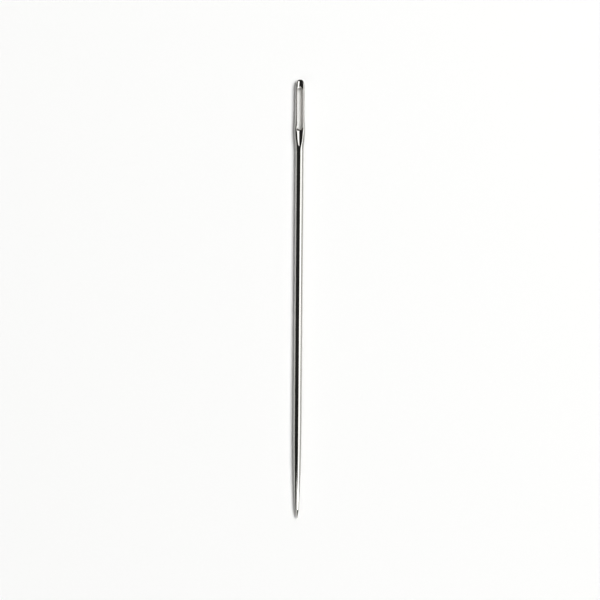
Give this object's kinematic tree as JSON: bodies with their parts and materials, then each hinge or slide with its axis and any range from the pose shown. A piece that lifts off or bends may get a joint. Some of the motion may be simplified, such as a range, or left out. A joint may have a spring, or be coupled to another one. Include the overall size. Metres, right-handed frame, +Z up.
{
  "type": "yarn needle",
  "caption": "Long steel hand needle for yarn: a stamped head with a large slotted eye and gutters, a round wire shaft and a slim tapered point.",
  "frame": {"origin": "below the middle of the needle, on the surface that it lies on: the middle of the underside of its bounding box", "axes": "+Y along the needle towards the crown of the head, -Y towards the point; +Z up, through the eye; X across the head"},
  "size_m": [0.0018, 0.07, 0.0013],
  "materials": {
    "nickel_plated_steel": "hardened steel wire, polished and bright nickel plated"
  },
  "bodies": {
    "root": {"head": "nickel_plated_steel", "shaft": "nickel_plated_steel", "point": "nickel_plated_steel"}
  },
  "joints": []
}
